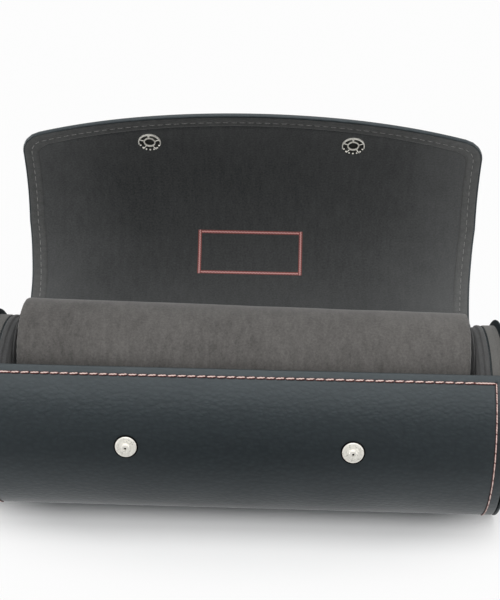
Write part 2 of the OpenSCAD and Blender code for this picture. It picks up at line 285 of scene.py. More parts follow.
nickel = mixMetal("nickel", (0.97, 0.945, 0.87), 0.22, 0.38)
capNickel = mixMetal("capNickel", (0.86, 0.83, 0.75), 0.20)
# painted shade: a dark copy of the nickel for the sockets' wells, for the shade in their recess
shadedWellNickel = mixMetal("shadedWellNickel", (0.045, 0.045, 0.042), 0.38, 0.6)
shadedNickel = mixMetal("shadedNickel", (0.006, 0.006, 0.006), 0.5, 0.9)
greyBoard = mixBoard("greyBoard", (0.30, 0.25, 0.18), (0.45, 0.38, 0.28), 400)
print("finishes mixed")


def deselectAll():
    if bpy.context.object and bpy.context.object.mode != "OBJECT":
        bpy.ops.object.mode_set(mode="OBJECT")
    bpy.ops.object.select_all(action="DESELECT")


def pick(piece):
    deselectAll()
    piece.select_set(True)
    bpy.context.view_layer.objects.active = piece


def inEdit(piece, work, mode="VERT"):
    # runs work() with everything in the piece selected, in edit mode
    pick(piece)
    bpy.ops.object.mode_set(mode="EDIT")
    bpy.ops.mesh.select_mode(type=mode)
    bpy.ops.mesh.select_all(action="SELECT")
    work()
    bpy.ops.object.mode_set(mode="OBJECT")


def weldAndTurnOut(piece):
    def work():
        bpy.ops.mesh.remove_doubles(threshold=0.000002)
        bpy.ops.mesh.normals_make_consistent(inside=False)
    inEdit(piece, work)


def applyAll(piece):
    pick(piece)
    for modifier in list(piece.modifiers):
        bpy.ops.object.modifier_apply(modifier=modifier.name)


def thicken(piece, thickness):
    # gives an open sheet a wall under the face that shows
    shell = piece.modifiers.new("wall", "SOLIDIFY")
    shell.thickness, shell.offset = thickness * mm, -1
    shell.use_even_offset = True
    applyAll(piece)


def smooth(piece, angle=50):
    pick(piece)
    bpy.ops.object.shade_smooth_by_angle(angle=math.radians(angle))


def dress(piece, *finishes):
    piece.data.materials.clear()
    for finish in finishes:
        piece.data.materials.append(finish)


def wallAndDress(sheet, thickness, *finishes):
    thicken(sheet, thickness)
    weldAndTurnOut(sheet)
    dress(sheet, *finishes)


def assign(piece, body, slot, *nodes):
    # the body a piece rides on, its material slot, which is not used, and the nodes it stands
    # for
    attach(piece, body)
    if nodes:
        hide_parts(*nodes)


def layGrid(name, columns, rows, place, flip=False):
    # a flat sheet of columns x rows quads; place(column, row) gives each corner's
    # (flat x, flat length, where it goes), all in millimetres
    deselectAll()
    bpy.ops.mesh.primitive_grid_add(x_subdivisions=columns, y_subdivisions=rows, size=1)
    sheet = bpy.context.object
    sheet.name = name
    mesh = sheet.data
    flat = []
    for corner in mesh.vertices:
        column = round((corner.co.x + 0.5) * columns)
        row = round((corner.co.y + 0.5) * rows)
        x, along, point = place(column, row)
        flat.append((x * mm, along * mm))
        corner.co = Vector(point) * mm
    mesh.uv_layers[0].name = "pattern"
    layer = mesh.uv_layers["pattern"]
    for loop in mesh.loops:
        layer.data[loop.index].uv = flat[loop.vertex_index]
    if flip:
        inEdit(sheet, bpy.ops.mesh.flip_normals)
    return sheet


def runAlong(points):
    # how far along a line of points each one is
    steps = np.linalg.norm(np.diff(np.array(points, float), axis=0), axis=1)
    return np.concatenate(([0], np.cumsum(steps)))


def turnProfile(name, profile, steps, toPlace=Matrix.Identity(4), turn=360):
    # spins a profile of (radius, height) millimetres about Z, clockwise by turn degrees,
    # then takes it to its place; a part turn is closed at both its ends
    mesh = bpy.data.meshes.new(name)
    corners = [(radius * mm, 0, height * mm) for radius, height in profile]
    mesh.from_pydata(corners, [(k, k + 1) for k in range(len(corners) - 1)], [])
    piece = bpy.data.objects.new(name, mesh)
    bpy.context.scene.collection.objects.link(piece)
    inEdit(piece, lambda: bpy.ops.mesh.spin(steps=steps, angle=math.radians(turn),
                                            use_auto_merge=turn == 360,
                                            center=(0, 0, 0), axis=(0, 0, 1)))
    if turn < 360:
        weldAndTurnOut(piece)
        inEdit(piece, lambda: bpy.ops.mesh.fill_holes(sides=0))
    weldAndTurnOut(piece)
    mesh.transform(toPlace)
    return piece


def joinUp(name, pieces):
    deselectAll()
    for piece in pieces:
        piece.select_set(True)
    bpy.context.view_layer.objects.active = pieces[0]
    bpy.ops.object.join()
    pieces[0].name = name
    return pieces[0]


def facing(origin, outwards, up):
    # a place with +Z outwards and +Y as near to up as it can be
    z = Vector(outwards).normalized()
    x = Vector(up).cross(z).normalized()
    y = z.cross(x)
    return Matrix.Translation(Vector(origin) * mm) @ Matrix((x, y, z)).transposed().to_4x4()


# millimetres and degrees; along is a length up the flap from its hinge
flapShape = dict(
    panelLengths=(14, 20, 21, 21, 21, 31.7), creaseTurns=(0, 15, 16, 12, 4, 0),
    panelRadius=80, hinge=(30.148, 72.219), rootLean=90,
    creaseSoftness=8,  # either side of a crease, over which the skin turns
    halfRoot=103.4, halfEnd=108.5, taperLength=62, frontBow=18.9, cornerRadius=13,
    innerCorner=7, fullThickness=2.2, stripThickness=1.6, stripEnd=11, boardStart=18,
)
panelStarts = [0]
for panelLength in flapShape["panelLengths"]:
    panelStarts.append(panelStarts[-1] + panelLength)
flapEnd = panelStarts[-1]
panelMiddles = [(panelStarts[k] + panelStarts[k + 1]) / 2 for k in range(6)]


def softStep(t):
    t = np.clip(t, 0, 1)
    return t * t * (3 - 2 * t)


def traceFlap():
    # length, y, z and lean from the vertical, all along the leather's outer face
    shape = flapShape
    length = np.linspace(0, flapEnd + 2, 2601)
    lean = shape["rootLean"] - np.degrees(length / shape["panelRadius"])
    for start, turn in zip(panelStarts, shape["creaseTurns"]):
        soft = shape["creaseSoftness"]
        lean = lean - turn * softStep((length - start + soft) / (2 * soft))
    lean = np.radians(lean)
    step = np.diff(length)
    middle = (lean[1:] + lean[:-1]) / 2
    y = shape["hinge"][0] + np.concatenate(([0], np.cumsum(np.sin(middle) * step)))
    z = shape["hinge"][1] + np.concatenate(([0], np.cumsum(np.cos(middle) * step)))
    return length, y, z, lean


flapTrace = traceFlap()


def onFlap(x, along, height):
    # a flat place on the flap, height millimetres above its leather face
    length, y, z, lean = flapTrace
    turn = float(np.interp(along, length, lean))
    return (x, float(np.interp(along, length, y)) - math.cos(turn) * height,
            float(np.interp(along, length, z)) + math.sin(turn) * height)


def halfFlap(along):
    shape = flapShape
    grow = min(1, max(0, along) / shape["taperLength"])
    return shape["halfRoot"] + (shape["halfEnd"] - shape["halfRoot"]) * grow


def flapDepth(along):
    # the flap's thickness as a share of its full one: the hinge strip has no board
    shape = flapShape
    thin = shape["stripThickness"] / shape["fullThickness"]
    grow = (along - shape["stripEnd"]) / (shape["boardStart"] - shape["stripEnd"])
    return thin + (1 - thin) * float(softStep(grow))


def traceRim(inset):
    # left half of the end panel's outline, moved in by inset: from its straight side,
    # round the corner, to the middle of the front edge, as (x, along) points
    shape = flapShape
    bend = shape["panelRadius"]
    reach = bend * math.sin(shape["panelLengths"][5] / bend)
    half, bow = shape["halfEnd"], shape["frontBow"]
    front = (half ** 2 + bow ** 2) / (2 * bow)
    frontY = reach - front
    half, front = half - inset, front - inset
    corner = max(shape["cornerRadius"] - inset, shape["innerCorner"])
    cornerX = half - corner
    cornerY = frontY + math.sqrt((front - corner) ** 2 - cornerX ** 2)
    touch = math.atan2(cornerY - frontY, -cornerX)
    start = panelStarts[5]

    def flatten(x, y):
        return x, start + bend * math.asin(y / bend)

    arc = [flatten(-cornerX + corner * math.cos(a), cornerY + corner * math.sin(a))
           for a in np.linspace(math.pi, touch, 41)]
    nose = [flatten(front * math.cos(a), frontY + front * math.sin(a))
            for a in np.linspace(touch, math.pi / 2, 81)[1:]]
    return arc, nose


def spread(points, count):
    # count + 1 points evenly spaced along a line of points
    run = runAlong(points)
    at = np.linspace(0, run[-1], count + 1)
    return np.stack([np.interp(at, run, [p[n] for p in points]) for n in (0, 1)], 1)


def flapSheet(name, rings, first, last, rows, middles=40, flip=False):
    # a sheet of the flap between two lengths, first and last. rings gives its edge's
    # section as (inset, height) pairs; where last is the flap's end they run round it
    ringCount = len(rings)
    columns = 2 * (ringCount - 1) + middles
    ended = last >= flapEnd
    if not ended:
        def place(column, row):
            along = first + (last - first) * row / rows
            near = min(column, columns - column, ringCount - 1)
            inset, height = rings[near]
            side = halfFlap(along) - inset
            if near == ringCount - 1:
                x = side * (2 * (column - near) / (columns - 2 * near) - 1)
            else:
                x = -side if column < columns / 2 else side
            if near == ringCount - 1 and not flip:
                height -= creaseDip(x, along)
            return x, along, onFlap(x, along, height * flapDepth(along))
        return layGrid(name, columns, rows, place, flip)

    rims = []
    for inset, height in rings:
        k = len(rims)
        arc, nose = traceRim(inset)
        left = [(-halfFlap(first) + inset, first)] + arc[:21]
        side = spread(left, rows - k)
        half = (columns - 2 * k) // 2
        top = spread(arc[20:] + nose, half)
        top = np.concatenate([top, [(-x, y) for x, y in top[-2::-1]]])
        rims.append((side, top))
    inner = ringCount - 1
    side, top = rims[inner]
    across, deep = columns - 2 * inner, rows - inner

    def place(column, row):
        fromFront = rows - row
        near = min(column, columns - column, fromFront, inner)
        inset, height = rings[near]
        if near < inner or column in (inner, columns - inner) or fromFront == inner:
            sidePoints, topPoints = rims[near]
            if fromFront == near:
                x, along = topPoints[column - near]
            elif column == near:
                x, along = sidePoints[row]
            else:
                x, along = sidePoints[row]
                x = -x
        else:
            # between its four edges, as a patch is
            u, v = (column - inner) / across, row / deep
            foot = np.array([side[0][0] * (1 - 2 * u), first])
            left, footLeft, headLeft = side[row], side[0], side[-1]
            right, footRight, headRight = (p * (-1, 1) for p in (left, footLeft, headLeft))
            x, along = ((1 - v) * foot + v * top[column - inner] + (1 - u) * left + u * right
                        - (1 - u) * (1 - v) * footLeft - u * (1 - v) * footRight
                        - (1 - u) * v * headLeft - u * v * headRight)
            if not flip:
                height = rings[inner][1] - creaseDip(x, along)
        return float(x), float(along), onFlap(float(x), float(along), height)
    return layGrid(name, columns, rows, place, flip)


pieceCuts = [0] + panelMiddles[1:5] + [flapEnd]
sockets = dict(spacing=95.2, along=108.5, hole=4.7, holeDepth=3, liningHeight=2.2)


def socketPlaces():
    # the two sockets' seats, with +Z towards the lining
    turn = float(np.interp(sockets["along"], flapTrace[0], flapTrace[3]))
    inwards = (0, -math.cos(turn), math.sin(turn))
    return [facing(onFlap(x, sockets["along"], 0), inwards, (0, 0, 1))
            for x in (-sockets["spacing"] / 2, sockets["spacing"] / 2)]


def cutSocketHoles(lining):
    for seat in socketPlaces():
        deselectAll()
        bpy.ops.mesh.primitive_cylinder_add(vertices=40, radius=sockets["hole"] * mm,
                                            depth=sockets["holeDepth"] * mm)
        cutter = bpy.context.object
        height = sockets["liningHeight"] * mm
        cutter.data.transform(seat @ Matrix.Translation((0, 0, height)))
        cut = lining.modifiers.new("socketHole", "BOOLEAN")
        cut.operation, cut.object = "DIFFERENCE", cutter
        applyAll(lining)
        bpy.data.objects.remove(cutter)


def hangOnCrease(piece, k):
    # piece k lies at the crease between panels k + 1 and k + 2; its place is baked into its mesh
    start = onFlap(0, panelMiddles[k], 1)
    end = onFlap(0, panelMiddles[k + 1] - (4 if k == 4 else 0), 1)
    f"flap_{k + 1}"
    f"flap_{k + 2}"
    tuple(c * mm for c in start)
    tuple(c * mm for c in end)
    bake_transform(piece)


# the flap is leather outside and suede inside; rings are (inset, height) pairs
flapLeather = dict(
    rings=((0.95, 1.95), (0.85, 2.1), (0.55, 2.18), (0.22, 2.05), (0.04, 1.6), (0.0, 1.0),
           (0.12, 0.45), (0.5, 0.08), (1.1, 0.0), (3.6, 0.0), (4.1, 0.06), (4.4, 0.14),
           (4.7, 0.06), (5.2, 0.0)),
    wall=0.75, rows=(14, 12, 12, 12, 36),
)
flapLining = dict(
    rings=((0.8, 1.7), (0.85, 2.05), (1.15, 2.3), (2.4, 2.40), (4.0, 2.36), (4.4, 2.22),
           (4.8, 2.36), (6.3, 2.42), (6.9, 2.34), (7.3, 2.12), (7.6, 1.86), (7.95, 2.08),
           (8.5, 2.30), (9.4, 2.38)),
    wall=0.36, hemInset=7.6, rows=(24, 20, 21, 21, 44),
    creases=((3, 1.0), (4, 1.0), (2, 0.7)),  # a panel's number and how deep its fold is
    creaseDepth=0.16, creaseWidth=0.7, wander=0.5, middleShare=0.25, plain=35, deepest=85,
)


def creaseDip(x, along):
    # the lining folds a little where two boards meet, mostly towards its sides
    look = flapLining
    dip = 0
    for k, reach in look["creases"]:
        middle = panelStarts[k] + look["wander"] * math.sin(x * 0.21)
        away = (along - middle) / look["creaseWidth"]
        dip += reach * math.exp(-away * away)
    out = float(softStep((abs(x) - look["plain"]) / (look["deepest"] - look["plain"])))
    return look["creaseDepth"] * dip * (look["middleShare"] + (1 - look["middleShare"]) * out)


def makeFlap():
    for k in range(5):
        first, last = pieceCuts[k], pieceCuts[k + 1]
        nodes = [k + 1] if k < 4 else [5, 6]
        leather = flapSheet(f"flapHide_{k + 1}", flapLeather["rings"], first, last,
                            flapLeather["rows"][k], flip=True)
        wallAndDress(leather, flapLeather["wall"], hide)
        smooth(leather)
        lining = flapSheet(f"flapSuede_{k + 1}", flapLining["rings"], first, last,
                           flapLining["rows"][k])
        wallAndDress(lining, flapLining["wall"], liningSuede, hemSuede)
        markHem(lining)
        if k == 4:
            cutSocketHoles(lining)
        smooth(lining)
        for piece, kind in ((leather, "flap_leather"), (lining, "flap_lining")):
            hangOnCrease(piece, k)
            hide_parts(*[f"{kind}_{n}" for n in nodes])


def markHem(lining):
    # the band outside the groove takes the lighter suede
    layer = lining.data.uv_layers["pattern"].data
    arc, nose = traceRim(flapLining["hemInset"])
    rim = spread(arc + nose, 80)
    for face in lining.data.polygons:
        spots = [layer[loop].uv for loop in face.loop_indices]
        x = abs(sum(spot[0] for spot in spots) / len(spots)) / mm
        along = sum(spot[1] for spot in spots) / len(spots) / mm
        front = np.interp(-x, rim[:, 0], rim[:, 1]) if x < -rim[0][0] else 0
        inside = x < halfFlap(along) - flapLining["hemInset"] and along < max(front, rim[0][1])
        face.material_index = int(not inside)


makeFlap()
print("flap made")

# the drum is a leather wrap and its lining; rim and stitchAngle are in degrees, and rolled
# turns the wrap's ends in, as (distance from the end, sink) pairs
drum = dict(
    axis=41.0, outer=43.4, inner=41.0, half=110.9, rim=46.0, stitchAngle=40.57,
    stitchEnd=106.7, grooveDepth=0.24, grooveWidth=0.58, wall=0.85, foot=0.0,
    rolled=((0, 0.45), (0.15, 0.2), (0.5, 0.05)), liningHalf=108.9, liningRadius=40.98,
    liningWall=0.7, liningFoot=2.42, liningDrop=1.75,
)
degree = 180 / math.pi / drum["outer"]  # what a millimetre along the wrap is in degrees


def onDrum(radius, angle):
    # angle in degrees, from the front's horizontal upwards; past -90 it is the back
    a = math.radians(angle)
    return -radius * math.cos(a), drum["axis"] + radius * math.sin(a)


def groove(distance):
    return drum["grooveDepth"] * math.exp(-(distance / drum["grooveWidth"]) ** 2)


def wrapPath():
    # (radius, angle) pairs from inside the front rim, round the drum, to inside the back
    cap = ((41.0, 1.3), (41.02, 0.6), (41.25, 0.18), (41.7, 0.02), (42.3, 0.0), (42.85, 0.05),
           (43.2, 0.28), (43.36, 0.7), (43.4, 1.3), (43.4, 2.2))
    rim, stitch = drum["rim"], drum["stitchAngle"]
    front = [(r, rim - d * degree) for r, d in cap]
    near = [stitch - d * degree for d in (-1.0, -0.6, -0.3, 0, 0.3, 0.6, 1.0, 1.8)]
    body = list(np.linspace(near[-1] - 2, -180 - rim + 2.2 * degree + 2, 126))
    back = [(r, -180 - rim + d * degree) for r, d in reversed(cap)]
    return front + [(drum["outer"], a) for a in near + body] + back


def makeWrap():
    path = wrapPath()
    end = drum["half"]
    edge = (end, end - 0.15, end - 0.5, end - 1.1, 108.3, 107.3, 107.0, 106.7, 106.4, 106.1,
            105.4)
    xs = [-e for e in edge] + list(np.linspace(-102, 102, 45)) + list(reversed(edge))
    rolled = {end - inwards: sink for inwards, sink in drum["rolled"]}

    def place(column, row):
        x, (radius, angle) = xs[column], path[row]
        along = (drum["rim"] - angle) / degree
        if radius > drum["outer"] - 0.1:
            sink = rolled.get(abs(x), 0)
            if abs(x) < drum["stitchEnd"] + 0.8:
                sink += groove((angle - drum["stitchAngle"]) / degree)
            if angle < drum["stitchAngle"] + 1:
                sink += groove(abs(x) - drum["stitchEnd"])
            radius -= sink
        y, z = onDrum(radius, angle)
        return x, along, (x, y, max(z, drum["foot"]))

    wrap = layGrid("drumWrap", len(xs) - 1, len(path) - 1, place, flip=True)
    wallAndDress(wrap, drum["wall"], hide)
    smooth(wrap)
    assign(wrap, "case", "leather", "shell_leather")

    top = drum["rim"] - drum["liningDrop"]
    angles = np.linspace(top, -180 - top, 130)
    half = drum["liningHalf"]

    def liningPlace(column, row):
        x, angle = -half + 2 * half * column / 24, angles[row]
        y, z = onDrum(drum["liningRadius"], angle)
        return x, (drum["rim"] - angle) / degree, (x, y, max(z, drum["liningFoot"]))

    lining = layGrid("drumLining", 24, len(angles) - 1, liningPlace)
    wallAndDress(lining, drum["liningWall"], shadedWallSuede)
    smooth(lining)
    assign(lining, "case", "suede", "shell_lining")


makeWrap()
print("drum made")

# the suede fold over the hinge goes up the drum's lining by the drops, round the hinge at
# overRim to overFlap from it, and onto the flap at (along, height)
fold = dict(half=103.4, wall=0.4, drops=(5, 3.4, 2.2, 1.2, 0.5), overRim=2.75, overFlap=1.95,
            fromAngle=218, toAngle=90, onto=((1, 1.95), (2.2, 1.9), (3.2, 1.8), (4.2, 1.62)))


def makeFold():
    hingeY, hingeZ = flapShape["hinge"]
    points = []
    for drop in fold["drops"]:
        angle = -180 - drum["rim"] + math.degrees(drop / drum["inner"])
        points.append(onDrum(drum["inner"] - 0.35 * min(1, (5.3 - drop) / 2), angle))
    start, end = math.radians(fold["fromAngle"]), math.radians(fold["toAngle"])
    for share in np.linspace(0, 1, 15):
        reach = fold["overRim"] + (fold["overFlap"] - fold["overRim"]) * share
        a = start + (end - start) * share
        points.append((hingeY + reach * math.cos(a), hingeZ + reach * math.sin(a)))
    points += [onFlap(0, along, height)[1:] for along, height in fold["onto"]]
    run = runAlong(points)

    def place(column, row):
        x = -fold["half"] + 2 * fold["half"] * column / 40
        y, z = points[row]
        return x, -float(run[row]), (x, y, z)

    strip = layGrid("hingeFold", 40, len(points) - 1, place)
    wallAndDress(strip, fold["wall"], liningSuede)
    smooth(strip)
    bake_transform(strip)


makeFold()

# each end is a pad, a suede wall, a seam, a suede band and the leather disc outside:
# (radius from the drum's axis, distance from its middle) down each section, and the height
# at which it is cut flat below
ends = dict(
    pad=(((0, 100.3), (37.6, 100.3), (39.0, 100.5), (39.75, 101.0), (39.95, 101.7),
          (39.9, 102.7), (0, 102.7)), 3.45),
    wall=(((0, 102.7), (39.4, 102.7), (40.4, 102.82), (40.85, 103.2), (40.9, 103.8),
           (40.85, 104.4), (40.7, 104.8), (40.45, 105.0), (40.2, 105.08), (40.12, 105.4),
           (0, 105.4)), 2.5),
    band=(((0, 105.4), (40.12, 105.42), (40.2, 105.72), (40.45, 105.8), (40.75, 106.0),
           (40.88, 106.5), (40.9, 109.0), (0, 109.0)), 2.5),
    disc=(((0, 109.05), (40.86, 109.05), (40.9, 109.6), (40.9, 110.9), (41.05, 111.02),
           (41.6, 111.1), (42.4, 111.24), (43.1, 111.46), (43.45, 111.76), (43.5, 112.06),
           (43.35, 112.38), (43.0, 112.62), (42.4, 112.72),
           (41.6, 112.66), (41.1, 112.45), (40.8, 112.2), (40.5, 112.44), (39.9, 112.66),
           (38, 112.82), (33, 112.94), (24, 113.0), (0, 113.0)), 0.0),
    steps=168, seam=(105.4, 0.36), bandEnd=110.96, edgeOfBand=(40, 40.95), cutSlack=1e-6,
)


def makeEnds():
    kinds = (("pad", shadedWallSuede, "end_pad", "suede"), ("wall", shadedWallSuede, "cap_lining", "suede"),
             ("band", litBandSuede, "rim_band", "suede"), ("disc", hideDisc, "end_disc", "leather"))
    axisPlace = Matrix.Translation((0, 0, drum["axis"] * mm)) \
        @ Matrix.Rotation(math.pi / 2, 4, "Y")
    lowest, highest = (radius * mm for radius in ends["edgeOfBand"])
    for kind, finish, node, slot in kinds:
        profile, foot = ends[kind]
        right = turnProfile(f"right_{kind}", profile, ends["steps"], axisPlace)
        inEdit(right, lambda: bpy.ops.mesh.bisect(
            plane_co=(0, 0, foot * mm), plane_no=(0, 0, -1), clear_outer=True, use_fill=True,
            threshold=ends["cutSlack"]))
        weldAndTurnOut(right)
        dress(right, finish, litBandSuede if kind == "disc" else hideDisc)
        for face in right.data.polygons:
            # painted shade: the faces in the seam take the black disc leather; and the band
            # carried on to the disc's lip
            seam = abs(face.center.x - ends["seam"][0] * mm) < ends["seam"][1] * mm
            lining = kind == "disc" and face.center.x < ends["bandEnd"] * mm
            out = math.hypot(face.center.y, face.center.z - drum["axis"] * mm)
            face.material_index = int((seam or lining) and lowest < out < highest)
        left = mirrorAcross(right, f"left_{kind}")
        for side, piece in (("right", right), ("left", left)):
            smooth(piece, 35)
            assign(piece, "case", slot, f"{side}_{node}")


def mirrorAcross(piece, name):
    deselectAll()
    twin = piece.copy()
    twin.data = piece.data.copy()
    bpy.context.scene.collection.objects.link(twin)
    twin.name = name
    twin.data.transform(Matrix.Scale(-1, 4, (1, 0, 0)))
    weldAndTurnOut(twin)
    return twin


makeEnds()
print("ends made")

# the watch roll is a cushion and a disc at each end
roll = dict(
    radius=26.8, height=62.5, bodyEnd=96.5, shoulder=(2.4, 1.1), tilt=0.9, crown=0.018,
    discNear=98.75, discFar=99.45, discRadius=21.4, neckRadius=18.4, neckIn=1.6,
    softness=0.30, lumps=30, dimples=85, pressure=14.0, frames=12, swellLimit=0.5,
    fill=0.95,
)


def rollPlace():
    # across the case, and a touch off level as it lies in it
    return Matrix.Translation((0, 0, roll["height"] * mm)) \
        @ Matrix.Rotation(math.radians(90 + roll["tilt"]), 4, "Y")


def swell(piece):
    # a short run of cloth under pressure, with each corner's way held to a limit
    scene = bpy.context.scene
    start = np.array([corner.co[:] for corner in piece.data.vertices])
    cloth = piece.modifiers.new("swell", "CLOTH")
    cloth.settings.quality = 4
    cloth.settings.use_pressure = True
    cloth.settings.uniform_pressure_force = roll["pressure"]
    cloth.settings.effector_weights.gravity = 0
    cloth.point_cache.frame_end = roll["frames"]
    for step in range(1, roll["frames"] + 1):
        scene.frame_set(step)
    swollen = piece.evaluated_get(bpy.context.evaluated_depsgraph_get()).to_mesh()
    way = np.array([corner.co[:] for corner in swollen.vertices]) - start
    length = np.linalg.norm(way, axis=1, keepdims=True)
    print("cushion swelled by", round(float(length.mean() * 1000), 3), "mm, at most",
          round(float(length.max() * 1000), 3))
    held = start + way * np.minimum(1, roll["swellLimit"] * mm / np.maximum(length, 1e-9))
    piece.modifiers.remove(cloth)
    scene.frame_set(1)
    for corner, place in zip(piece.data.vertices, held):
        corner.co = place


def makeRoll():
    end, radius = roll["bodyEnd"], roll["radius"]
    deep, wide = roll["shoulder"]
    shoulder = [(radius - deep + deep * math.sin(a), end - wide + wide * math.cos(a))
                for a in np.linspace(0, math.pi / 2, 9)]
    half = [(0, end - 0.3), (9, end - 0.3), (17, end - 0.2), (21.5, end - 0.05)] + shoulder
    side = [(radius, h) for h in np.linspace(end - wide - 1.5, -end + wide + 1.5, 90)]
    body = turnProfile("rollCushion", half + side + [(r, -h) for r, h in reversed(half)],
                       160, rollPlace())
    swell(body)
    for corner in body.data.vertices:
        # the foam under the suede gives a little, unevenly
        lift = noise.noise(corner.co * roll["lumps"])
        lift += 0.5 * noise.noise(corner.co * roll["dimples"])
        across = Vector((0, corner.co.y, corner.co.z - roll["height"] * mm))
        if across.length > 0.02:
            corner.co += across.normalized() * (lift - 0.35) * roll["softness"] * mm
        # and its ends lean out a little towards the top
        corner.co.x *= 1 + roll["crown"] * across.z / (roll["radius"] * mm)
    dress(body, rollSuede)
    smooth(body, 60)
    assign(body, "roll", "roll_suede", "roll_cover", "roll_foam")

    near, far, edge = roll["discNear"], roll["discFar"], roll["discRadius"]
    neck, neckEnd = roll["neckRadius"], end - roll["neckIn"]
    plate = [(0, far), (edge - 0.5, far), (edge - 0.12, far - 0.12), (edge, far - 0.45),
             (edge, near + 0.4), (edge - 0.12, near + 0.12), (edge - 0.5, near),
             (neck, near), (neck, neckEnd), (0, neckEnd)]
    right = turnProfile("rollPlate_right", plate, 144, rollPlace())
    left = mirrorAcross(right, "rollPlate_left")
    left.data.transform(Matrix.Translation((0, 0, 2 * roll["height"] * mm))
                        @ Matrix.Scale(-1, 4, (0, 0, 1)))
    weldAndTurnOut(left)
    for side, piece in (("right", right), ("left", left)):
        dress(piece, shadedWallSuede)
        smooth(piece)
        assign(piece, "roll", "roll_suede", f"{side}_roll_disc")


makeRoll()
print("roll made")

# sections of the snaps, (radius, height) from the wrap's face or the flap's leather; spokes,
# beads and the hood are at degrees round the socket, and a spoke has its radius too
snaps = dict(
    stud=((0.0, 1.55), (0.42, 1.5), (0.5, 1.7), (0.54, 2.3), (0.75, 2.52), (1.3, 2.58),
          (1.75, 2.5), (2.02, 2.25), (2.1, 1.95), (1.98, 1.65), (1.85, 1.3), (1.9, 1.05),
          (2.2, 0.9), (2.6, 0.86), (2.8, 0.74), (2.95, 0.74), (3.2, 0.84), (3.9, 0.84),
          (4.3, 0.74), (4.52, 0.5), (4.58, 0.28), (4.5, 0.06), (4.3, 0.0), (2.0, 0.0),
          (0.8, -0.2), (0.0, -0.2)),
    # painted shade: seat is a thin black ring round each stud's foot, and eye a black disc in
    # its hole
    seat=((4.4, -0.1), (5.1, -0.1), (5.18, 0.04), (5.1, 0.14), (4.6, 0.16), (4.4, -0.1)),
    eye=((0, 1.86), (0.46, 1.84), (0.52, 1.6), (0, 1.56)),
    hood=((4.82, 1.9), (4.82, 3.2), (4.9, 3.42), (5.06, 3.5), (5.22, 3.42), (5.3, 3.2),
          (5.3, 1.9), (4.82, 1.9)),
    lip=((2.25, 1.3), (2.25, 2.75), (2.32, 2.95), (2.5, 3.02), (2.7, 2.95), (2.76, 2.75),
         (2.76, 1.3), (2.25, 1.3)),
    well=((0.0, 1.25), (2.0, 1.28), (2.2, 1.35), (2.23, 2.2), (2.8, 2.38), (4.5, 2.4),
          (4.85, 2.45), (4.95, 2.6), (5.1, 2.6), (5.1, 2.2), (4.55, 2.15), (4.5, 1.15),
          (0.0, 1.15)),
    cap=((0.0, -1.12), (1.5, -1.05), (3.0, -0.86), (4.4, -0.52), (5.5, -0.2), (5.95, -0.08),
         (6.0, -0.02), (5.8, 0.0), (1.6, 0.0), (1.6, 0.9), (0, 0.9)),
    hoodFrom=192, hoodTurn=204, beads=range(204, 337, 22), beadPlace=(4.75, 2.75),
    beadSize=(0.46, 0.44, 0.4), spokePlace=(3.95, 2.95), spokeLength=2.1,
    spokes=((93, 0.48), (22, 0.24), (158, 0.24), (232, 0.24), (305, 0.24)),
)


def atAngle(angle, place):
    # a place at (radius, height) and an angle round a snap
    return Matrix.Rotation(math.radians(angle), 4, "Z") \
        @ Matrix.Translation((place[0] * mm, 0, place[1] * mm))


def beadsOf(name, toPlace):
    # small rounded beads on an arc
    shape = Matrix.Diagonal([size * mm for size in snaps["beadSize"]] + [1])
    beads = []
    for angle in snaps["beads"]:
        deselectAll()
        bpy.ops.mesh.primitive_uv_sphere_add(segments=12, ring_count=8, radius=1)
        bead = bpy.context.object
        bead.data.transform(toPlace @ atAngle(angle, snaps["beadPlace"]) @ shape)
        beads.append(bead)
    return joinUp(name, beads)


def spokesOf(toPlace):
    # the bars that hold the gripping ring
    bars = []
    for angle, radius in snaps["spokes"]:
        deselectAll()
        bpy.ops.mesh.primitive_cylinder_add(vertices=12, radius=radius * mm,
                                            depth=snaps["spokeLength"] * mm)
        bar = bpy.context.object
        bar.data.transform(toPlace @ atAngle(angle, snaps["spokePlace"])
                           @ Matrix.Rotation(math.pi / 2, 4, "Y"))
        bars.append(bar)
    return bars


def makeSnaps():
    studs, studShadeBits, rings, wells, caps = [], [], [], [], []

    def turned(pieces, kind, steps, toPlace, turn=360):
        pieces.append(turnProfile(f"{kind}{k}", snaps[kind], steps, toPlace, turn))

    for k, onLining in enumerate(socketPlaces()):
        x = (k - 0.5) * sockets["spacing"]
        onWrap = facing((x, -drum["outer"], drum["axis"]), (0, -1, 0), (0, 0, 1))
        turned(studs, "stud", 56, onWrap)
        turned(studShadeBits, "seat", 56, onWrap)
        turned(studShadeBits, "eye", 24, onWrap)
        turned(rings, "hood", 40, onLining @ atAngle(snaps["hoodFrom"], (0, 0)),
               snaps["hoodTurn"])
        turned(rings, "lip", 40, onLining)
        turned(wells, "well", 40, onLining)
        rings.append(beadsOf(f"beads{k}", onLining))
        turned(caps, "cap", 56, onLining)
        rings += spokesOf(onLining)
    for name, parts, finish, body, nodes in (
            ("snapStuds", studs, nickel, "case", ["snap_studs"]),
            # painted shade round each stud and in its hole
            ("studPaintedShade", studShadeBits, shadedNickel, "case", []),
            ("snapSockets", rings, nickel, "flap_6", ["snap_sockets"]),
            ("socketWells", wells, shadedWellNickel, "flap_6", []),
            ("snapCaps", caps, capNickel, "flap_6", ["socket_caps"])):
        piece = joinUp(name, parts)
        dress(piece, finish)
        smooth(piece, 40)
        assign(piece, body, "snap_metal", *nodes)


makeSnaps()
print("snaps made")

